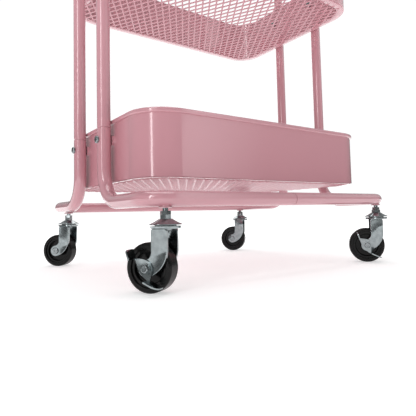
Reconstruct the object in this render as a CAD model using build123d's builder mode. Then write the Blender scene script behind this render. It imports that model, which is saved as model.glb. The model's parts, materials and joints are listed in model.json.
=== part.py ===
"""Three-tier rolling trolley cart: bent-tube frame, three pressed baskets, four swivel casters.

Millimetres.  X runs along the long side, Y across it with the braked front side at -Y, +Z is up.
The origin is on the floor, midway between the four upright posts.
"""
from build123d import *
from math import atan2, cos, degrees, dist, radians, sin, sqrt
import os

os.makedirs("parts", exist_ok=True)

# ---- frame tubes ----------------------------------------------------------------------------
tube_radius = 8.5            # every frame tube is 17 mm outside diameter
tube_wall = 1.0
post_x = 207.0               # post centres, half spacing along the long side
post_y = 48.0                # half spacing of the twin posts on one short side
base_half_y = 173.0          # centreline of the long base tubes
base_height = 98.0           # centreline of the base tubes above the floor
stub_bend = 42.0             # bend from upright stub to horizontal
corner_bend = 27.0           # bend at the corners of the base, 1.5 tube diameters
stub_top = 193.0             # upper end of the base's upright stubs
plug_depth = 45.0            # length of the handle tube's drawn-in end inside the stub
shoulder = 1.5               # step from full diameter to drawn-in end
seam_gap = 0.5               # half of the hairline gap where two tubes meet
seam_round = 0.4             # rounded tube edges at the seam of stub and post
handle_top = 857.0           # centreline of the handle bar
handle_bend = 38.0
sleeve_length = 60.0
sleeve_wall = 1.2

# ---- baskets --------------------------------------------------------------------------------
tier_bottoms = {"lower": 125.0, "middle": 420.0, "upper": 715.0}
basket_x = 391.0             # outside of the sheet wall
basket_y = 291.0
basket_corner = 45.0
basket_height = 80.0
sheet = 1.0
flange_width = 12.0          # inward flange that carries the mesh
rim_out = 2.6                # how far the rolled rim stands out from the wall
rim_height = 6.0
rim_upper_round = 2.4
rim_lower_round = 1.6
mesh_thickness = 2.0
mesh_gap = 0.05
mesh_inset = 1.5             # mesh panel edge inside the wall's outside
mesh_border = 11.0           # solid border of the mesh panel
cell_x = 25.4                # diamond pitch across and along, twice the real 12.7 by 21.1 mm
cell_y = 42.2
strand = 5.0                 # strand width measured along X

# ---- basket fasteners -----------------------------------------------------------------------
screw_rise = 53.0            # screw axis above the bottom of its basket
screw_radius = 2.5
screw_clear = 0.1
screw_head_radius = 4.75
screw_head = 2.8
head_round = 1.6
recess_span = 5.0            # cross recess of the screw heads
recess_width = 1.0
recess_depth = 1.2
screw_tail = 1.0             # thread showing past the weld nut
boss_radius = 7.0
nut_radius = 5.5
nut_length = 4.0
nut_round = 0.8
weld_gap = 0.02

# ---- casters --------------------------------------------------------------------------------
caster_x = 188.0
caster_y = base_half_y - corner_bend + sqrt(corner_bend ** 2 - (caster_x - post_x + corner_bend) ** 2)
swivel_angles = {"front_left": 57.0, "front_right": 50.0, "rear_left": 48.0, "rear_right": 49.0}
trail = 16.5
wheel_radius = 26.5
tyre_width = 19.0
tyre_inner = 20.5
boss = 6.8                   # radius of the wheel's centre boss
boss_length = 23.0
hub_web = 6.0
rim_width = 15.0
insert_radius = 5.5           # threaded bush in the base tube
insert_flange = 7.0
insert_flange_height = 1.2
stem_radius = 3.0
stem_top = 103.0
collar_flats = 11.0
collar_height = 4.1
jam_nut_flats = 10.0
jam_nut_height = 4.0
jam_nut_turn = 17.0          # how the nut happens to sit after tightening
crown_radius = 16.2
crown_bottom = 66.5
crown_top = 68.0
cap_radius = 17.2
cap_bottom = 70.5
cap_top = 76.9
ball_radius = 1.8
ball_circle = 9.5
ball_count = 12
ball_height = 69.55
rivet_radius = 4.0
rivet_head_radius = 6.5
rivet_head = 1.7
race_roof = 71.1             # underside of the cap above the balls
race_rim = 69.3              # top of the crown's upturned rim
race_rim_wall = 1.2
axle_radius = 3.0
fit_gap = 0.05               # radial clearance of every running fit
axle_head = 2.2
axle_nut_flats = 10.0
axle_nut_height = 4.2
seat_gap = 0.1               # between faces that are screwed together
leg_outer = 13.5             # outer face of a fork leg from the wheel's middle plane
leg_sheet = 1.5
leg_lip = 1.7                # how far the folded edges reach in past the sheet
leg_edge = 1.4               # thickness of the folded edges
leg_front = -8.0             # straight edges of a leg, from the swivel axis
leg_back = 10.5
leg_shoulder = 46.0          # height where the front edge starts to curve back
eye_radius = 9.0
hollow_radius = 8.0
rim_section = 3.5
boss_round = 0.8
shoulder_round = 3.4         # tyre shoulders
lever_inner = 13.7
lever_sheet = 1.5
lever_front_edge = ((12.4, 11.0), (9.4, 3.5), (7.2, -2.2), (3.4, -7.0), (-5.2, -13.2))   # from the axle
lever_rear_edge = ((-5.2, -13.2), (-7.2, -6.0), (-7.4, 1.0), (-4.8, 6.6), (1.6, 9.6), (12.4, 11.0))
lever_tabs = (((11.6, 9.6), (15.0, 20.0), 3.5), ((-4.4, -11.8), (-19.6, -18.8), 8.0))  # foot, tip, corner
tab_reach = 12.0             # how far the foot tabs stand out of the lever's plate
horseshoe_outer = 5.9        # raised horseshoe round the axle head
horseshoe_inner = 4.6
horseshoe_mouth = 5.4
horseshoe_height = 0.9

CORNERS = {"front_left": (-1, -1), "front_right": (1, -1), "rear_left": (-1, 1), "rear_right": (1, 1)}
BRAKED = ("front_left", "front_right")

up = Vector(0, 0, 1)
tube_bottom = base_height - tube_radius
post_face = post_x - tube_radius


def save(piece, name):
    """Label a finished piece and write it as one STEP file."""
    piece.label = name
    export_step(piece, f"parts/{name}.step")


# ---- frame ----------------------------------------------------------------------------------
def base_tube(name, sx, sy):
    """One quarter of the base: upright stub, bend, corner and half of the long side."""
    x, y = sx * post_x, sy * post_y
    with BuildPart() as tube:
        with BuildLine() as path:
            FilletPolyline(
                (x, y, stub_top),
                (x, y, base_height),
                (x, sy * base_half_y, base_height),
                (sx * seam_gap, sy * base_half_y, base_height),
                radius=[stub_bend, corner_bend],
            )
        with BuildSketch(Plane.XY.offset(stub_top)):
            with Locations((x, y)):
                Circle(tube_radius)
                Circle(tube_radius - tube_wall, mode=Mode.SUBTRACT)
        sweep(path=path.wires()[0])
        mouth = tube.edges().filter_by_position(Axis.Z, stub_top - 0.01, stub_top + 0.01)
        fillet(mouth.sort_by(SortBy.LENGTH)[-1], seam_round)
        with Locations(Location((x, y, tier_bottoms["lower"] + screw_rise), (0, 90, 0))):
            Cylinder(screw_radius + screw_clear, 4 * tube_radius, mode=Mode.SUBTRACT)
        with Locations((sx * caster_x, sy * caster_y, base_height - tube_radius)):
            Cylinder(insert_radius + screw_clear, tube_radius, mode=Mode.SUBTRACT)
    save(tube.part, name)


def handle(name, sx):
    """Inverted U of one short side; the drawn-in ends of both legs plug into the base's stubs."""
    x = sx * post_x
    foot = stub_top + 2 * seam_gap
    plug_radius = tube_radius - tube_wall - fit_gap
    with BuildPart() as tube:
        with BuildLine() as path:
            FilletPolyline(
                (x, -post_y, foot),
                (x, -post_y, handle_top),
                (x, post_y, handle_top),
                (x, post_y, foot),
                radius=[handle_bend, handle_bend],
            )
        with BuildSketch(Plane.XY.offset(foot)):
            with Locations((x, -post_y)):
                Circle(tube_radius)
                Circle(tube_radius - tube_wall, mode=Mode.SUBTRACT)
        sweep(path=path.wires()[0])
        for bottom, top, radius in (
            (stub_top - plug_depth, foot + shoulder, plug_radius),
            (foot, foot + shoulder, tube_radius),
        ):
            with BuildSketch(Plane.XY.offset(bottom)):
                with Locations((x, -post_y), (x, post_y)):
                    Circle(radius)
                    Circle(plug_radius - tube_wall, mode=Mode.SUBTRACT)
            extrude(amount=top - bottom)
        mouths = tube.edges().filter_by_position(Axis.Z, foot - 0.01, foot + 0.01)
        fillet(mouths.sort_by(SortBy.LENGTH)[-2:], seam_round)
        screw_places = [
            Location((x, sy * post_y, bottom + screw_rise), (0, 90, 0))
            for sy in (-1, 1)
            for bottom in tier_bottoms.values()
        ]
        with Locations(screw_places):
            Cylinder(screw_radius + screw_clear, 4 * tube_radius, mode=Mode.SUBTRACT)
    save(tube.part, name)


def base_sleeves():
    """Inner sleeves that join the base halves at the middle of each long side."""
    sleeve_radius = tube_radius - tube_wall - fit_gap
    with BuildPart() as sleeves:
        for sy in (-1, 1):
            with BuildSketch(Plane.YZ.offset(-sleeve_length / 2)):
                with Locations((sy * base_half_y, base_height)):
                    Circle(sleeve_radius)
                    Circle(sleeve_radius - sleeve_wall, mode=Mode.SUBTRACT)
            extrude(amount=sleeve_length)
    save(sleeves.part, "base_sleeves")


# ---- baskets --------------------------------------------------------------------------------
def basket_wall(tier, bottom):
    """Pressed sheet wall with a rolled rim, an inward bottom flange and four screw bosses."""
    top = bottom + basket_height
    with BuildPart() as wall:
        with BuildSketch(Plane.XY.offset(bottom)):
            RectangleRounded(basket_x, basket_y, basket_corner)
            offset(amount=-sheet, mode=Mode.SUBTRACT)
        extrude(amount=basket_height)
        with BuildSketch(Plane.XY.offset(bottom)):
            RectangleRounded(basket_x, basket_y, basket_corner)
            offset(amount=-flange_width, mode=Mode.SUBTRACT)
        extrude(amount=sheet)
        with BuildSketch(Plane.XY.offset(top - rim_height)):
            RectangleRounded(basket_x + 2 * rim_out, basket_y + 2 * rim_out, basket_corner + rim_out)
            RectangleRounded(
                basket_x - 2 * sheet, basket_y - 2 * sheet, basket_corner - sheet, mode=Mode.SUBTRACT
            )
        extrude(amount=rim_height)
        rim_outline = wall.faces().filter_by(Plane.XY).sort_by(Axis.Z)[-1].outer_wire().edges()
        fillet(rim_outline, rim_upper_round)
        rim_under = wall.faces().filter_by(Plane.XY).filter_by_position(
            Axis.Z, top - rim_height - 0.01, top - rim_height + 0.01
        )
        fillet(rim_under[0].outer_wire().edges(), rim_lower_round)
        bosses = [
            Location((sx * basket_x / 2, sy * post_y, bottom + screw_rise), (0, sx * 90, 0))
            for sx in (-1, 1)
            for sy in (-1, 1)
        ]
        boss_length = post_face - basket_x / 2 - screw_clear
        with Locations(bosses):
            Cylinder(boss_radius, boss_length, align=(Align.CENTER, Align.CENTER, Align.MIN))
            Cylinder(screw_radius + screw_clear, 4 * boss_length, mode=Mode.SUBTRACT)
    save(wall.part, f"basket_wall_{tier}")


def inside_rounded(x, y, half_x, half_y, radius):
    """True where a point lies inside a rounded rectangle centred on the origin."""
    dx = max(abs(x) - (half_x - radius), 0)
    dy = max(abs(y) - (half_y - radius), 0)
    return abs(x) <= half_x and abs(y) <= half_y and dx * dx + dy * dy <= radius * radius


def mesh_cells():
    """Centres of the staggered diamond openings that fit whole inside the panel's border."""
    corner = basket_corner - mesh_inset - mesh_border
    half_x = basket_x / 2 - mesh_inset - mesh_border - cell_x / 2
    half_y = basket_y / 2 - mesh_inset - mesh_border - cell_y / 2
    columns = int(half_x // (cell_x / 2))
    rows = int(half_y // (cell_y / 2))
    cells = []
    for column in range(-columns, columns + 1):
        for row in range(-rows, rows + 1):
            x, y = column * cell_x / 2, row * cell_y / 2
            if (column + row) % 2 == 0 and inside_rounded(x, y, half_x, half_y, corner):
                cells.append((x, y))
    return cells


def mesh_panel():
    """Expanded-metal panel, its top face at z = 0."""
    half_x = (cell_x - strand) / 2
    half_y = half_x * cell_y / cell_x
    with BuildSketch() as outline:
        RectangleRounded(basket_x - 2 * mesh_inset, basket_y - 2 * mesh_inset, basket_corner - mesh_inset)
    openings = []
    for x, y in mesh_cells():
        with BuildLine() as diamond:
            Polyline((x + half_x, y), (x, y + half_y), (x - half_x, y), (x, y - half_y), close=True)
        openings.append(diamond.wires()[0])
    with BuildPart() as panel:
        extrude(Face(outline.face().outer_wire(), openings), amount=-mesh_thickness)
    return panel.part


def basket_floor(tier, bottom, panel):
    """Mesh panel welded under the bottom flange of one basket."""
    with BuildPart() as floor:
        with Locations((0, 0, bottom - mesh_gap)):
            add(panel)
    save(floor.part, f"basket_floor_{tier}")


def screw_planes(tier, bottom, x):
    """Planes on the four screw axes of one tier, all facing outwards."""
    return [
        Plane(origin=(sx * x, sy * post_y, bottom + screw_rise), x_dir=(0, 1, 0), z_dir=(sx, 0, 0))
        for sx in (-1, 1)
        for sy in (-1, 1)
    ]


def basket_screws(tier, bottom):
    """Four M5 pan-head screws, through the posts from outside into the basket's nuts."""
    seat = post_x + tube_radius
    shank = seat - (basket_x / 2 - sheet - nut_length - screw_tail)
    with BuildPart(*screw_planes(tier, bottom, seat)) as screws:
        Cylinder(screw_head_radius, screw_head, align=(Align.CENTER, Align.CENTER, Align.MIN))
        fillet(screws.faces().filter_by(Axis.X).filter_by(
            lambda face: abs(abs(face.center().X) - seat - screw_head) < 0.01).edges(), head_round)
        Cylinder(screw_radius, shank, align=(Align.CENTER, Align.CENTER, Align.MAX))
        with Locations((0, 0, screw_head)):
            Box(recess_span, recess_width, 2 * recess_depth, mode=Mode.SUBTRACT)
            Box(recess_width, recess_span, 2 * recess_depth, mode=Mode.SUBTRACT)
    save(screws.part, f"basket_screws_{tier}")


def basket_nuts(tier, bottom):
    """Four round M5 weld nuts on the inside of the short walls."""
    seat = basket_x / 2 - sheet - weld_gap
    inner = seat - nut_length
    with BuildPart(*screw_planes(tier, bottom, seat)) as nuts:
        Cylinder(nut_radius, nut_length, align=(Align.CENTER, Align.CENTER, Align.MAX))
        fillet(nuts.faces().filter_by(Axis.X).filter_by(
            lambda face: abs(abs(face.center().X) - inner) < 0.01).edges(), nut_round)
        Cylinder(screw_radius + fit_gap, 4 * nut_length, mode=Mode.SUBTRACT)
    save(nuts.part, f"basket_nuts_{tier}")


# ---- casters --------------------------------------------------------------------------------
class Caster:
    """Local frame of one caster: X towards the trailing wheel, Y outboard along the axle, Z up."""

    def __init__(self, corner):
        sx, sy = CORNERS[corner]
        turn = radians(swivel_angles[corner])
        trail_dir = Vector(-cos(turn), sin(turn), 0)
        axle_dir = Vector(-sin(turn), -cos(turn), 0)
        self.corner = corner
        self.trail_dir = trail_dir
        self.axle_dir = axle_dir
        self.origin = Vector(sx * caster_x, sy * caster_y, 0)
        self.plan = Plane(origin=self.origin, x_dir=trail_dir, z_dir=up)
        self.swivel = Axis(self.origin, up)
        self.hub = self.origin + trail_dir * trail + up * wheel_radius
        self.axle = Axis(self.hub, axle_dir)
        self.across = Plane(origin=self.hub, x_dir=axle_dir, z_dir=trail_dir)
        self.section = Plane(origin=self.origin, x_dir=trail_dir, z_dir=-axle_dir)

    def side(self, outboard):
        """Plane parallel to the wheel's face; local X trails, local Y is up, normal is inboard."""
        return Plane(origin=self.origin + self.axle_dir * outboard, x_dir=self.trail_dir,
                     z_dir=-self.axle_dir)

    def axle_plane(self, outboard):
        """Plane across the axle, facing outboard."""
        return Plane(origin=self.hub + self.axle_dir * outboard, x_dir=self.trail_dir,
                     z_dir=self.axle_dir)

    def save(self, piece, kind):
        save(piece, f"caster_{kind}_{self.corner}")


def caster_inserts():
    """Threaded bushes pressed into the underside of the base tubes, one over each caster."""
    places = [(sx * caster_x, sy * caster_y) for sx, sy in CORNERS.values()]
    underside = Plane.XY.offset(tube_bottom - seat_gap - insert_flange_height)
    with BuildPart() as inserts:
        with BuildSketch(underside):
            with Locations(places):
                Circle(insert_flange)
        extrude(amount=insert_flange_height)
        fillet(inserts.faces().sort_by(Axis.Z)[:4].edges(), 0.5)
        with BuildSketch(underside):
            with Locations(places):
                Circle(insert_radius)
        extrude(amount=stem_top - underside.origin.Z - 0.3)
        with BuildSketch(underside):
            with Locations(places):
                Circle(stem_radius + fit_gap)
        extrude(amount=stem_top, mode=Mode.SUBTRACT)
    save(inserts.part, "caster_inserts")


def caster_stem(caster):
    """M6 stem with a hex collar; its lower shank is riveted through the cap and the fork."""
    foot = crown_bottom - seat_gap - rivet_head
    collar = cap_top + fit_gap
    with BuildPart() as stem:
        with BuildSketch(caster.plan.offset(foot)):
            Circle(rivet_head_radius)
        extrude(amount=rivet_head)
        fillet(stem.faces().sort_by(Axis.Z)[0].edges(), 1.0)
        with BuildSketch(caster.plan.offset(foot)):
            Circle(rivet_radius)
        extrude(amount=collar - foot)
        with BuildSketch(caster.plan.offset(collar)):
            RegularPolygon(collar_flats / 2, 6, major_radius=False)
        extrude(amount=collar_height)
        with BuildSketch(caster.plan.offset(collar)):
            Circle(stem_radius)
        extrude(amount=stem_top - collar)
        chamfer(stem.faces().sort_by(Axis.Z)[-1].edges(), 0.6)
    caster.save(stem.part, "stem")


def caster_nut(caster):
    """Hex jam nut that locks the stem under the base tube."""
    with BuildPart() as nut:
        with BuildSketch(caster.plan.offset(cap_top + fit_gap + collar_height + seat_gap)):
            RegularPolygon(jam_nut_flats / 2, 6, major_radius=False, rotation=jam_nut_turn)
            Circle(stem_radius + fit_gap, mode=Mode.SUBTRACT)
        extrude(amount=jam_nut_height)
    caster.save(nut.part, "nut")


def caster_cap(caster):
    """Domed top plate with the upper ball race on its underside; it stays with the stem."""
    with BuildPart() as cap:
        with BuildSketch(caster.section):
            with BuildLine():
                start = (rivet_radius + fit_gap, race_roof)
                Polyline(start, (12.6, race_roof), (13.6, cap_bottom), (cap_radius - 0.4, cap_bottom),
                         (cap_radius, cap_bottom + 0.4), (cap_radius, cap_bottom + 0.9))
                ThreePointArc((cap_radius, cap_bottom + 0.9), (12.4, 73.6), (7.4, cap_top - 0.25))
                Polyline((7.4, cap_top - 0.25), (6.6, cap_top), (rivet_radius + fit_gap, cap_top), start)
            make_face()
            with Locations((ball_circle, ball_height)):
                Circle(ball_radius + fit_gap, mode=Mode.SUBTRACT)
        revolve(axis=caster.swivel)
    caster.save(cap.part, "cap")


def caster_balls(caster):
    """Ring of steel balls between the cap and the crown of the fork."""
    with BuildPart(caster.plan) as balls:
        with Locations((0, 0, ball_height)):
            with PolarLocations(ball_circle, ball_count):
                Sphere(ball_radius)
    caster.save(balls.part, "balls")


def leg_outline():
    """Side view of one fork leg: straight down from the crown, then curving back to the axle eye."""
    drop = leg_shoulder - wheel_radius
    reach = trail - leg_front
    # large arc, tangent to the straight front edge and wrapping the inside of the eye
    sweep_radius = (reach ** 2 + drop ** 2 - eye_radius ** 2) / (2 * (reach - eye_radius))
    sweep_end = 180 + degrees(atan2(drop, leg_front + sweep_radius - trail))
    # small hollow arc, tangent to the straight back edge and to the outside of the eye
    rise = sqrt((hollow_radius + eye_radius) ** 2 - (hollow_radius + leg_back - trail) ** 2)
    hollow_end = degrees(atan2(rise, leg_back + hollow_radius - trail))
    top = crown_bottom + 0.5
    with BuildLine() as outline:
        FilletPolyline((leg_back, wheel_radius + rise), (leg_back, top), (leg_front, top),
                       (leg_front, leg_shoulder), radius=3.0)
        CenterArc((leg_front + sweep_radius, leg_shoulder), sweep_radius, 180, sweep_end - 180)
        CenterArc((trail, wheel_radius), eye_radius, sweep_end, 360 + hollow_end - sweep_end)
        CenterArc((leg_back + hollow_radius, wheel_radius + rise), hollow_radius,
                  180 + hollow_end, -hollow_end)
    return outline.line


def caster_fork(caster):
    """Pressed fork: crown with the lower ball race, and two curved legs with folded edges."""
    with BuildPart() as fork:
        for inboard in (leg_outer, -leg_outer):
            depth = leg_sheet + leg_lip if inboard > 0 else -(leg_sheet + leg_lip)
            web = leg_sheet if inboard > 0 else -leg_sheet
            with BuildSketch(caster.side(inboard)):
                add(leg_outline())
                make_face()
            extrude(amount=depth)
            outer = fork.faces().filter_by(lambda face, at=inboard: abs(
                (face.center() - caster.origin).dot(caster.axle_dir) - at) < 0.01)
            fillet(outer.edges(), 0.8)
            with BuildSketch(caster.side(inboard - web)):
                add(leg_outline())
                make_face()
                offset(amount=-leg_edge, mode=Mode.REPLACE)
            extrude(amount=depth, mode=Mode.SUBTRACT)
        with BuildSketch(caster.section):
            with BuildLine():
                Polyline((0, crown_bottom), (crown_radius - 1.0, crown_bottom),
                         (crown_radius, crown_bottom + 0.8), (crown_radius, race_rim),
                         (crown_radius - race_rim_wall, race_rim),
                         (crown_radius - race_rim_wall, crown_top), (0, crown_top), (0, crown_bottom))
            make_face()
            with Locations((ball_circle, ball_height)):
                Circle(ball_radius + fit_gap, mode=Mode.SUBTRACT)
        revolve(axis=caster.swivel)
        with BuildSketch(caster.plan.offset(crown_bottom - 1)):
            Circle(rivet_radius + fit_gap)
        extrude(amount=4, mode=Mode.SUBTRACT)
        with BuildSketch(caster.axle_plane(-2 * leg_outer)):
            Circle(axle_radius + fit_gap)
        extrude(amount=4 * leg_outer, mode=Mode.SUBTRACT)
    caster.save(fork.part, "fork")


def caster_axle(caster):
    """Axle bolt with a low round head outboard; on a braked caster it also holds the lever."""
    braked = caster.corner in BRAKED
    seat = (lever_inner + lever_sheet if braked else leg_outer) + seat_gap
    head_radius = 4.2 if braked else 5.4
    with BuildPart() as bolt:
        with BuildSketch(caster.axle_plane(seat)):
            Circle(head_radius)
        extrude(amount=axle_head)
        fillet(bolt.faces().sort_by(caster.axle)[-1].edges(), 1.2)
        with BuildSketch(caster.axle_plane(seat + axle_head)):
            Circle(1.6)
        extrude(amount=-0.7, mode=Mode.SUBTRACT)
        with BuildSketch(caster.axle_plane(seat + axle_head / 2)):
            Circle(axle_radius)
        extrude(amount=-(seat + axle_head / 2 + leg_outer + axle_nut_height + 1.0))
        chamfer(bolt.faces().sort_by(caster.axle)[0].edges(), 0.5)
    caster.save(bolt.part, "axle")


def caster_axle_nut(caster):
    """Hex nut on the inboard end of the axle."""
    with BuildPart() as nut:
        with BuildSketch(caster.axle_plane(-leg_outer - seat_gap)):
            RegularPolygon(axle_nut_flats / 2, 6, major_radius=False)
            Circle(axle_radius + fit_gap, mode=Mode.SUBTRACT)
        extrude(amount=-axle_nut_height)
    caster.save(nut.part, "axle_nut")


def caster_hub(caster):
    """Moulded wheel centre: bored boss, thin web and rim ring."""
    bore = axle_radius + fit_gap
    rim = tyre_inner - fit_gap
    with BuildPart() as hub:
        with BuildSketch(caster.across) as profile:
            with Locations((0, (bore + boss) / 2)):
                Rectangle(boss_length, boss - bore)
            with Locations((0, (boss + rim) / 2 - 1)):
                Rectangle(hub_web, rim - boss)
            with Locations((0, rim - rim_section / 2)):
                Rectangle(rim_width, rim_section)
            corners = profile.vertices().filter_by(
                lambda v: abs(v.Y - boss) < 0.01 or abs(v.Y - rim + rim_section) < 0.01)
            fillet(corners, boss_round)
        revolve(axis=caster.axle)
    caster.save(hub.part, "hub")


def caster_tyre(caster):
    """Solid rubber tread with rounded shoulders."""
    with BuildPart() as tyre:
        with BuildSketch(caster.across) as profile:
            with Locations((0, (tyre_inner + wheel_radius) / 2)):
                Rectangle(tyre_width, wheel_radius - tyre_inner)
            fillet(profile.vertices().group_by(Axis.Y)[-1], shoulder_round)
            fillet(profile.vertices().group_by(Axis.Y)[0], 0.6)
        revolve(axis=caster.axle)
    caster.save(tyre.part, "tyre")


def tab_plane(caster, foot, tip):
    """Plane of one foot tab of the lever: local X runs from foot to tip, local Y is outboard."""
    start = caster.hub + caster.trail_dir * foot[0] + up * foot[1] + caster.axle_dir * lever_inner
    along = (caster.trail_dir * (tip[0] - foot[0]) + up * (tip[1] - foot[1])).normalized()
    return Plane(origin=start, x_dir=along, z_dir=along.cross(caster.axle_dir))


def caster_brake(caster):
    """Rocker brake lever: a leaf plate on the axle with a foot tab turned out at each end."""
    face = Plane(origin=caster.hub + caster.axle_dir * lever_inner, x_dir=caster.trail_dir,
                 z_dir=-caster.axle_dir)
    with BuildPart() as lever:
        with BuildSketch(face):
            with BuildLine():
                Spline(*lever_front_edge)
                Spline(*lever_rear_edge)
            make_face()
        extrude(amount=-lever_sheet)
        for foot, tip, corner in lever_tabs:
            length = dist(foot, tip)
            reach = lever_sheet + tab_reach
            with BuildSketch(tab_plane(caster, foot, tip)) as tab:
                with Locations((length / 2, reach / 2)):
                    Rectangle(length, reach)
                fillet(tab.vertices().sort_by(lambda v: v.X + v.Y)[-1], corner)
            extrude(amount=lever_sheet / 2, both=True)
        with BuildSketch(face.offset(-lever_sheet)):
            Circle(horseshoe_outer)
            Circle(horseshoe_inner, mode=Mode.SUBTRACT)
            with Locations((0, -horseshoe_outer)):
                Rectangle(horseshoe_mouth, horseshoe_outer, mode=Mode.SUBTRACT)
        extrude(amount=-horseshoe_height)
        with BuildSketch(caster.axle_plane(lever_inner - lever_sheet)):
            Circle(axle_radius + fit_gap)
        extrude(amount=3 * lever_sheet, mode=Mode.SUBTRACT)
    save(lever.part, f"brake_lever_{caster.corner}")


# ---- build everything -----------------------------------------------------------------------
for corner, (side_x, side_y) in CORNERS.items():
    base_tube(f"base_tube_{corner}", side_x, side_y)
base_sleeves()
handle("handle_left", -1)
handle("handle_right", 1)
panel = mesh_panel()
for tier, tier_bottom in tier_bottoms.items():
    basket_wall(tier, tier_bottom)
    basket_floor(tier, tier_bottom, panel)
    basket_screws(tier, tier_bottom)
    basket_nuts(tier, tier_bottom)
caster_inserts()
for corner in CORNERS:
    caster = Caster(corner)
    for make in (caster_stem, caster_nut, caster_cap, caster_balls, caster_fork, caster_axle,
                 caster_axle_nut, caster_hub, caster_tyre):
        make(caster)
    if corner in BRAKED:
        caster_brake(caster)
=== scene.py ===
import json
import math

import bpy
from mathutils import Matrix, Vector


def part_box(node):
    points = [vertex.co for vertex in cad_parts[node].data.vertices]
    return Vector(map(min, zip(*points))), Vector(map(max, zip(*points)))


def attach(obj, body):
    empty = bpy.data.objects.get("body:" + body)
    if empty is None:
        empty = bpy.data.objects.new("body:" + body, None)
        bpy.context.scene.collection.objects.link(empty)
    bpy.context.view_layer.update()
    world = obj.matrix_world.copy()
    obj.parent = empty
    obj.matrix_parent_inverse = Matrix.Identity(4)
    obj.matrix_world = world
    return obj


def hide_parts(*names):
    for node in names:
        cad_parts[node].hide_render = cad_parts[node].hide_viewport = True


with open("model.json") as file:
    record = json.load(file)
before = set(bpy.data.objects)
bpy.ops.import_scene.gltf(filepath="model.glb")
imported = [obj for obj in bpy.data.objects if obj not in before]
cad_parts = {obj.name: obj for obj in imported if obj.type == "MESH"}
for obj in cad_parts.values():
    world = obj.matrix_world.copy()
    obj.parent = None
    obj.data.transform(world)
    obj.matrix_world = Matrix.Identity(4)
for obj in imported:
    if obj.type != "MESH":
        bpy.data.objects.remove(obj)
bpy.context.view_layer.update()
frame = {"nodes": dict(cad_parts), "record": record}

TIERS = ("lower", "middle", "upper")
MM = 0.001


# ---- materials --------------------------------------------------------------------------------
PINK = (0.60, 0.288, 0.33)
ZINC = (0.37, 0.415, 0.425)
BOLT_ZINC = (0.34, 0.375, 0.385)
NOISE_RANGE = (0.3, 0.7)
ENAMEL_ROUGHNESS = (0.20, 0.24)
ENAMEL_TINT = (0.985, 1.01)          # darkest and lightest share of the colour
ENAMEL_TINT_SCALE, ENAMEL_ROUGH_SCALE, ORANGE_PEEL_SCALE = 5.0, 30.0, 300.0
ORANGE_PEEL = (0.02, 0.0003)         # bump strength and distance
COAT_ROUGHNESS, COAT_IOR = 0.05, 1.6
ZINC_TINT = 0.72
ZINC_TINT_SCALE, ZINC_ROUGH_SCALE, ZINC_WAVE_SCALE = 160.0, 120.0, 26.0
ZINC_WAVE_DISTANCE = 0.03
BLACK_TINT = (0.8, 1.3)
BLACK_TINT_SCALE, BLACK_ROUGH_SCALE, BLACK_GRAIN_SCALE = 90.0, 35.0, 2200.0
BLACK_GRAIN_DISTANCE = 0.0003
BLACK_SPECULAR = 0.2


def new_material(name, color, roughness, metallic=0.0):
    """A principled material with its constants set on the shader's own sockets."""
    material = bpy.data.materials.new(name)
    material.use_nodes = True
    shader = material.node_tree.nodes["Principled BSDF"]
    shader.inputs["Base Color"].default_value = (*color, 1.0)
    shader.inputs["Roughness"].default_value = roughness
    shader.inputs["Metallic"].default_value = metallic
    return material, shader


def shade(color, share):
    """A colour made darker or lighter by a factor."""
    return tuple(share * part for part in color)


def noise(tree, scale, detail=3.0):
    """Noise texture over object coordinates, in metres."""
    place = tree.nodes.new("ShaderNodeTexCoord")
    texture = tree.nodes.new("ShaderNodeTexNoise")
    texture.inputs["Scale"].default_value = scale
    texture.inputs["Detail"].default_value = detail
    tree.links.new(place.outputs["Object"], texture.inputs["Vector"])
    return texture.outputs["Fac"]


def ramp(tree, value, stops):
    """Colour ramp over stops of position and tone; a tone is a grey value or a colour."""
    node = tree.nodes.new("ShaderNodeValToRGB")
    while len(node.color_ramp.elements) < len(stops):
        node.color_ramp.elements.new(0.5)
    for element, (position, tone) in zip(node.color_ramp.elements, stops):
        element.position = position
        element.color = (*tone, 1.0) if isinstance(tone, tuple) else (tone, tone, tone, 1.0)
    tree.links.new(value, node.inputs["Fac"])
    return node.outputs["Color"]


def mottle(tree, texture, low, high):
    """Spread the usual range of a noise texture from low to high."""
    return ramp(tree, texture, tuple(zip(NOISE_RANGE, (low, high))))


def bump(tree, shader, height, strength, distance):
    """Bump the shader's normal with a height value."""
    node = tree.nodes.new("ShaderNodeBump")
    node.inputs["Strength"].default_value = strength
    node.inputs["Distance"].default_value = distance
    tree.links.new(height, node.inputs["Height"])
    tree.links.new(node.outputs["Normal"], shader.inputs["Normal"])


def enamel(name, gloss):
    """Dusty pink coat: smooth, with a faint orange-peel surface."""
    material, shader = new_material(name, PINK, ENAMEL_ROUGHNESS[0])
    tree = material.node_tree
    shader.inputs["Coat Weight"].default_value = gloss
    shader.inputs["Specular IOR Level"].default_value = gloss / 2
    shader.inputs["Coat Roughness"].default_value = COAT_ROUGHNESS
    shader.inputs["Coat IOR"].default_value = COAT_IOR
    deep, pale = (shade(PINK, share) for share in ENAMEL_TINT)
    tint = mottle(tree, noise(tree, ENAMEL_TINT_SCALE), deep, pale)
    tree.links.new(tint, shader.inputs["Base Color"])
    rough = mottle(tree, noise(tree, ENAMEL_ROUGH_SCALE), *ENAMEL_ROUGHNESS)
    tree.links.new(rough, shader.inputs["Roughness"])
    bump(tree, shader, noise(tree, ORANGE_PEEL_SCALE, detail=1.0), *ORANGE_PEEL)
    return material


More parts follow.
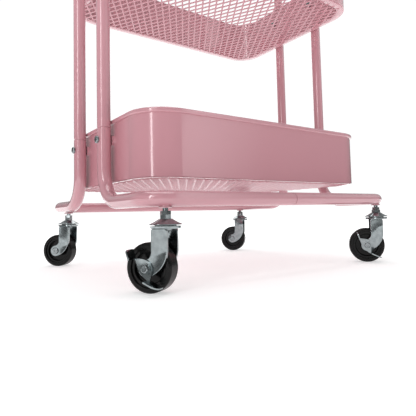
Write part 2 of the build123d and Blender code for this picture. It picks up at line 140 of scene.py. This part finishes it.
def zinc(name, color, low, high, wave):
    """Bright zinc plating: roughness from low to high, and a slowly waving surface."""
    material, shader = new_material(name, color, low, 1.0)
    tree = material.node_tree
    tint = mottle(tree, noise(tree, ZINC_TINT_SCALE, detail=4.0), shade(color, ZINC_TINT), color)
    tree.links.new(tint, shader.inputs["Base Color"])
    rough = mottle(tree, noise(tree, ZINC_ROUGH_SCALE), low, high)
    tree.links.new(rough, shader.inputs["Roughness"])
    bump(tree, shader, noise(tree, ZINC_WAVE_SCALE, detail=0.0), wave, ZINC_WAVE_DISTANCE)
    return material


def black(name, tone, low, high, grain):
    """Moulded black polymer: roughness from low to high, and a faint surface grain."""
    material, shader = new_material(name, (tone, tone, tone), low)
    shader.inputs["Specular IOR Level"].default_value = BLACK_SPECULAR
    tree = material.node_tree
    rough = mottle(tree, noise(tree, BLACK_ROUGH_SCALE), low, high)
    tree.links.new(rough, shader.inputs["Roughness"])
    tint = mottle(tree, noise(tree, BLACK_TINT_SCALE), *(tone * share for share in BLACK_TINT))
    tree.links.new(tint, shader.inputs["Base Color"])
    bump(tree, shader, noise(tree, BLACK_GRAIN_SCALE, detail=2.0), grain, BLACK_GRAIN_DISTANCE)
    return material


MATERIALS = {
    "pink_enamel": enamel("pink_enamel", gloss=1.0),
    "zinc": zinc("zinc", ZINC, low=0.12, high=0.22, wave=0.45),
    "bolt_zinc": zinc("bolt_zinc", BOLT_ZINC, low=0.12, high=0.22, wave=0.3),
    "black_nylon": black("black_nylon", tone=0.004, low=0.12, high=0.20, grain=0.03),
    "black_rubber": black("black_rubber", tone=0.005, low=0.20, high=0.32, grain=0.05),
}
MESH_ENAMEL = enamel("mesh_enamel", gloss=0.5)      # the thinner coat on the expanded metal
SLOTS = {entry["node"]: entry["material_slot"] for entry in frame["record"]["subparts"]}


def dress_cad_nodes():
    """Give every CAD node that stays visible its procedural material."""
    for name, node in frame["nodes"].items():
        node.data.materials.clear()
        node.data.materials.append(MATERIALS[SLOTS[name]])


# ---- mesh helpers -----------------------------------------------------------------------------
BEVEL_ANGLE, SMOOTH_ANGLE = 50, 40      # degrees


def mesh_object(name, verts, faces, finish, body="frame"):
    """New object from points and faces, in metres, riding on a body."""
    mesh = bpy.data.meshes.new(name)
    mesh.from_pydata([tuple(v) for v in verts], [], faces)
    mesh.update()
    obj = bpy.data.objects.new(name, mesh)
    bpy.context.scene.collection.objects.link(obj)
    mesh.materials.append(finish)
    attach(obj, body)
    return obj


def finish_sheet(obj, edge_width):
    """Bevel the sharp edges, turn the modifiers into mesh, and shade the rest smooth."""
    edge = obj.modifiers.new("edges", "BEVEL")
    edge.width = edge_width
    edge.segments = 2
    edge.limit_method = "ANGLE"
    edge.angle_limit = math.radians(BEVEL_ANGLE)
    depsgraph = bpy.context.evaluated_depsgraph_get()
    mesh = bpy.data.meshes.new_from_object(obj.evaluated_get(depsgraph))
    obj.modifiers.clear()
    obj.data = mesh
    mesh.polygons.foreach_set("use_smooth", [True] * len(mesh.polygons))
    mesh.set_sharp_from_angle(angle=math.radians(SMOOTH_ANGLE))


# ---- expanded-metal floors ---------------------------------------------------------------------
CELL_X = 12.7 * MM           # diamond pitch across and along
CELL_Y = 21.1 * MM
STRAND = 2.9 * MM            # strand width measured along X
TWIST = 0.55 * MM            # rise of one edge of a strand over its middle
STRAND_THICKNESS = 0.9 * MM
STRAND_EDGE = 0.18 * MM
FLOOR_MARGIN = 1.0 * MM      # between the outermost diamonds and the outside of the border
FLOOR_CORNER = 43.5 * MM
BORDER = 11.0 * MM
BORDER_THICKNESS = 0.9 * MM
BORDER_EDGE = 0.25 * MM
CORNER_STEPS = 12


def inside_rounded(x, y, half_x, half_y, radius):
    """True where a point lies inside a rounded rectangle centred on the origin."""
    dx = max(abs(x) - (half_x - radius), 0.0)
    dy = max(abs(y) - (half_y - radius), 0.0)
    return abs(x) <= half_x and abs(y) <= half_y and dx * dx + dy * dy <= radius * radius


def rounded_ring(half_x, half_y, radius):
    """Points of a rounded rectangle, anticlockwise."""
    points = []
    for quarter, (sx, sy) in enumerate(((1, 1), (-1, 1), (-1, -1), (1, -1))):
        for step in range(CORNER_STEPS + 1):
            angle = math.radians(90.0 * (quarter + step / CORNER_STEPS))
            points.append((sx * (half_x - radius) + radius * math.cos(angle),
                           sy * (half_y - radius) + radius * math.sin(angle)))
    return points


def whole_cells(half_x, half_y):
    """Column and row of every diamond whose four corners stay inside a floor's outline."""
    limit = (half_x - FLOOR_MARGIN, half_y - FLOOR_MARGIN, FLOOR_CORNER - FLOOR_MARGIN)
    columns = int(half_x / (CELL_X / 2)) + 1
    rows = int(half_y / (CELL_Y / 2)) + 1
    for column in range(-columns, columns + 1):
        for row in range(-rows, rows + 1):
            corners = [((column + dx) * CELL_X / 2, (row + dy) * CELL_Y / 2)
                       for dx, dy in ((1, 0), (0, 1), (-1, 0), (0, -1))]
            if (column + row) % 2 == 0 and all(inside_rounded(x, y, *limit) for x, y in corners):
                yield column, row


def floor_strands(tier, half_x, half_y, z):
    """Twisted diamond strands of one basket floor, about a middle plane."""
    hole_x = (CELL_X - STRAND) / 2
    hole_y = hole_x * CELL_Y / CELL_X
    verts, faces, shared = [], [], {}

    def corner(column, row):
        if (column, row) not in shared:
            shared[column, row] = len(verts)
            verts.append((column * CELL_X / 2, row * CELL_Y / 2, z))
        return shared[column, row]

    for column, row in whole_cells(half_x, half_y):
        x, y = column * CELL_X / 2, row * CELL_Y / 2
        outer = [corner(column + 1, row), corner(column, row + 1),
                 corner(column - 1, row), corner(column, row - 1)]
        inner = list(range(len(verts), len(verts) + 4))
        verts += [(x + hole_x, y, z + TWIST), (x, y + hole_y, z),
                  (x - hole_x, y, z - TWIST), (x, y - hole_y, z)]
        for k in range(4):
            faces.append((outer[k], outer[(k + 1) % 4], inner[(k + 1) % 4], inner[k]))
    mesh = mesh_object(f"floor_mesh_{tier}", verts, faces, MESH_ENAMEL)
    thick = mesh.modifiers.new("thickness", "SOLIDIFY")
    thick.thickness = STRAND_THICKNESS
    thick.offset = 0.0
    finish_sheet(mesh, STRAND_EDGE)
    return mesh


def floor_border(tier, half_x, half_y, top):
    """Flat border that the strands of one basket floor are cut to."""
    outer = rounded_ring(half_x, half_y, FLOOR_CORNER)
    inner = rounded_ring(half_x - BORDER, half_y - BORDER, FLOOR_CORNER - BORDER)
    count = len(outer)
    verts = [(x, y, z) for z in (top, top - BORDER_THICKNESS)
             for ring in (outer, inner) for x, y in ring]
    top_out, top_in, low_out, low_in = 0, count, 2 * count, 3 * count
    faces = []
    for k in range(count):
        n = (k + 1) % count
        faces += [(top_out + k, top_out + n, top_in + n, top_in + k),
                  (low_in + k, low_in + n, low_out + n, low_out + k),
                  (low_out + k, low_out + n, top_out + n, top_out + k),
                  (top_in + k, top_in + n, low_in + n, low_in + k)]
    border = mesh_object(f"floor_border_{tier}", verts, faces, MATERIALS["pink_enamel"])
    finish_sheet(border, BORDER_EDGE)


def expanded_mesh(tier):
    """Strands and border of one basket floor, in place of its plain CAD sheet."""
    low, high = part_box(f"basket_floor_{tier}")
    half_x, half_y = high[0], high[1]
    mesh = floor_strands(tier, half_x, half_y, (low[2] + high[2]) / 2)
    floor_border(tier, half_x, half_y, high[2])
    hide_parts(f"basket_floor_{tier}")


# ---- stage ------------------------------------------------------------------------------------
FLOOR_SIZE = 12.0                # from the middle to each side
FLOOR_TONE, FLOOR_ROUGHNESS = 0.72, 0.9
FLOOR_GLOW = (0.5, 1.0)          # glow of the floor at the near and the far distance
GLOW_DISTANCE = (0.3, 1.6)
BACKDROP_LIGHT = 1.05
ROOM_LIGHT = 0.55
SOFTBOX_LIGHT = 2.0
# position and tone; the position runs from 0 to 1 as the direction's Z or X runs from -1 to 1
ROOM_BANDS = ((0.0, 0.8), (0.46, 0.35), (0.52, 0.22), (0.60, 0.55), (0.72, 1.0), (0.85, 0.5))
SOFTBOX_BANDS = ((0.745, 0.0), (0.757, 1.0), (0.78, 0.8), (0.835, 0.0))
LIGHTS = (            # name, place, width, height, watts
    ("strip", (-1.9, -0.95, 0.9), 0.22, 1.8, 7.0),
    ("key", (-2.1, -1.3, 1.5), 0.9, 1.4, 6.0),
    ("fill", (2.4, -1.0, 1.6), 1.2, 1.2, 1.5),
    ("top", (0.1, 0.2, 2.4), 2.0, 2.0, 30.0),
    ("rear", (0.9, 2.0, 1.2), 1.6, 1.2, 8.0),
)
LIGHTS_AIM = (0.0, 0.0, 0.2)


def remap(tree, value, source, target):
    """Map a value from one range to another."""
    node = tree.nodes.new("ShaderNodeMapRange")
    node.inputs["From Min"].default_value, node.inputs["From Max"].default_value = source
    node.inputs["To Min"].default_value, node.inputs["To Max"].default_value = target
    tree.links.new(value, node.inputs["Value"])
    return node.outputs["Result"]


def arithmetic(tree, operation, *values):
    """Math node over sockets and plain numbers."""
    node = tree.nodes.new("ShaderNodeMath")
    node.operation = operation
    for socket, value in zip(node.inputs, values):
        if isinstance(value, float):
            socket.default_value = value
        else:
            tree.links.new(value, socket)
    return node.outputs["Value"]


def bands(tree, component, stops):
    """Grey tone along one component of a ray's direction."""
    return ramp(tree, remap(tree, component, (-1.0, 1.0), (0.0, 1.0)), stops)


def studio_floor():
    """White floor that glows more the farther it is from the cart."""
    corners = [(sx * FLOOR_SIZE, sy * FLOOR_SIZE, 0) for sx, sy in ((-1, -1), (1, -1), (1, 1), (-1, 1))]
    mesh = bpy.data.meshes.new("studio_floor")
    mesh.from_pydata(corners, [], [(0, 1, 2, 3)])
    floor = bpy.data.objects.new("studio_floor", mesh)
    bpy.context.scene.collection.objects.link(floor)
    material, shader = new_material("studio_floor", (FLOOR_TONE,) * 3, FLOOR_ROUGHNESS)
    shader.inputs["Emission Color"].default_value = (1.0, 1.0, 1.0, 1.0)
    tree = material.node_tree
    place = tree.nodes.new("ShaderNodeTexCoord")
    distance = tree.nodes.new("ShaderNodeVectorMath")
    distance.operation = "LENGTH"
    tree.links.new(place.outputs["Object"], distance.inputs[0])
    glow = remap(tree, distance.outputs["Value"], GLOW_DISTANCE, FLOOR_GLOW)
    tree.links.new(glow, shader.inputs["Emission Strength"])
    mesh.materials.append(material)


def studio_world():
    """White backdrop for the camera; for every other ray a banded room with a softbox in front."""
    world = bpy.data.worlds.new("studio")
    world.use_nodes = True
    tree = world.node_tree
    seen = tree.nodes["Background"]
    seen.inputs["Color"].default_value = (1.0, 1.0, 1.0, 1.0)
    seen.inputs["Strength"].default_value = BACKDROP_LIGHT
    room = tree.nodes.new("ShaderNodeBackground")
    room.inputs["Strength"].default_value = ROOM_LIGHT
    direction = tree.nodes.new("ShaderNodeTexCoord")
    split = tree.nodes.new("ShaderNodeSeparateXYZ")
    tree.links.new(direction.outputs["Generated"], split.inputs["Vector"])
    across = bands(tree, split.outputs["X"], SOFTBOX_BANDS)
    front = arithmetic(tree, "LESS_THAN", split.outputs["Y"], 0.0)
    softbox = arithmetic(tree, "MULTIPLY", across, front)
    upward = bands(tree, split.outputs["Z"], ROOM_BANDS)
    total = arithmetic(tree, "MULTIPLY_ADD", softbox, SOFTBOX_LIGHT, upward)
    tree.links.new(total, room.inputs["Color"])
    path = tree.nodes.new("ShaderNodeLightPath")
    blend = tree.nodes.new("ShaderNodeMixShader")
    tree.links.new(path.outputs["Is Camera Ray"], blend.inputs[0])
    tree.links.new(room.outputs["Background"], blend.inputs[1])
    tree.links.new(seen.outputs["Background"], blend.inputs[2])
    tree.links.new(blend.outputs["Shader"], tree.nodes["World Output"].inputs["Surface"])
    bpy.context.scene.world = world


def studio_lights():
    """Soft lights from the left, the front, the rear and above."""
    for name, place, width, height, power in LIGHTS:
        data = bpy.data.lights.new(name, "AREA")
        data.shape = "RECTANGLE"
        data.size = width
        data.size_y = height
        data.energy = power
        lamp = bpy.data.objects.new(name, data)
        lamp.location = place
        lamp.rotation_euler = (Vector(LIGHTS_AIM) - Vector(place)).to_track_quat("-Z", "Y").to_euler()
        bpy.context.scene.collection.objects.link(lamp)


# ---- camera -----------------------------------------------------------------------------------
CAMERA_PLACE = (-0.3959, -0.5542, 0.0793)
YAW, PITCH, ROLL = 0.6384, 0.0608, -0.0259      # radians
SENSOR, LENS = 36.0, 35.68                      # millimetres
SHIFT_X, SHIFT_Y = -0.0367, -0.0438
CLIP_START = 0.01


def camera():
    """Low three-quarter view from the front left, a little above the wheels."""
    place = Vector(CAMERA_PLACE)
    look = Vector((math.sin(YAW) * math.cos(PITCH), math.cos(YAW) * math.cos(PITCH), math.sin(PITCH)))
    level = Vector((math.cos(YAW), -math.sin(YAW), 0.0))
    right = level * math.cos(ROLL) + level.cross(look) * math.sin(ROLL)
    above = right.cross(look)
    data = bpy.data.cameras.new("camera")
    data.sensor_width = SENSOR
    data.lens = LENS
    data.shift_x = SHIFT_X
    data.shift_y = SHIFT_Y
    data.clip_start = CLIP_START
    view = bpy.data.objects.new("camera", data)
    view.matrix_world = Matrix((
        (right.x, above.x, -look.x, place.x),
        (right.y, above.y, -look.y, place.y),
        (right.z, above.z, -look.z, place.z),
        (0.0, 0.0, 0.0, 1.0)))
    bpy.context.scene.collection.objects.link(view)
    bpy.context.scene.camera = view
    bpy.context.scene.view_settings.view_transform = "Standard"


# ---- build ------------------------------------------------------------------------------------
dress_cad_nodes()
for tier in TIERS:
    expanded_mesh(tier)
studio_floor()
studio_world()
studio_lights()
camera()
